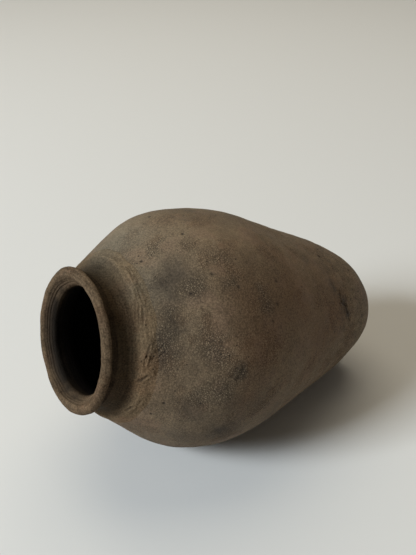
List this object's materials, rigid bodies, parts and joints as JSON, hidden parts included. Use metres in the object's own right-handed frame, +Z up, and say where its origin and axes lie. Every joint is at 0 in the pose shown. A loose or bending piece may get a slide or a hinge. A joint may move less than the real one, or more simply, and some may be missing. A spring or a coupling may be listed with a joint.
{
  "type": "greek pithos",
  "caption": "Hand-built unglazed clay storage jar lying on its side: round shoulder, tapering body, small flat base, short neck and thick rolled lip around an open mouth.",
  "frame": {"origin": "on the floor the jar lies on, at the middle of its bounding box in plan", "axes": "+X along the jar's length from the mouth to the base, +Z up as it lies, +Y across. The jar's own axis is in the XZ plane with the mouth end raised by 15.65 degrees. It stands upright when the base mount's normal is turned to -Z."},
  "size_m": [0.4572, 0.2892, 0.294],
  "materials": {
    "body_clay": "unglazed coarse fired clay, smoothed by hand, smoke-clouded",
    "luting_clay": "unglazed fired clay, wiped and dragged while wet",
    "lip_clay": "unglazed fired clay, smoothed with a wet hand"
  },
  "bodies": {
    "root": {"base_slab": "body_clay", "foot_course": "body_clay", "lower_wall_course": "body_clay", "waist_course": "body_clay", "lower_belly_course": "body_clay", "upper_belly_course": "body_clay", "lower_shoulder_course": "body_clay", "middle_shoulder_course": "body_clay", "upper_shoulder_course": "body_clay", "base_corner_coil": "body_clay", "neck_collar": "luting_clay", "neck_luting_band": "luting_clay", "rim_lip": "lip_clay"}
  },
  "joints": []
}
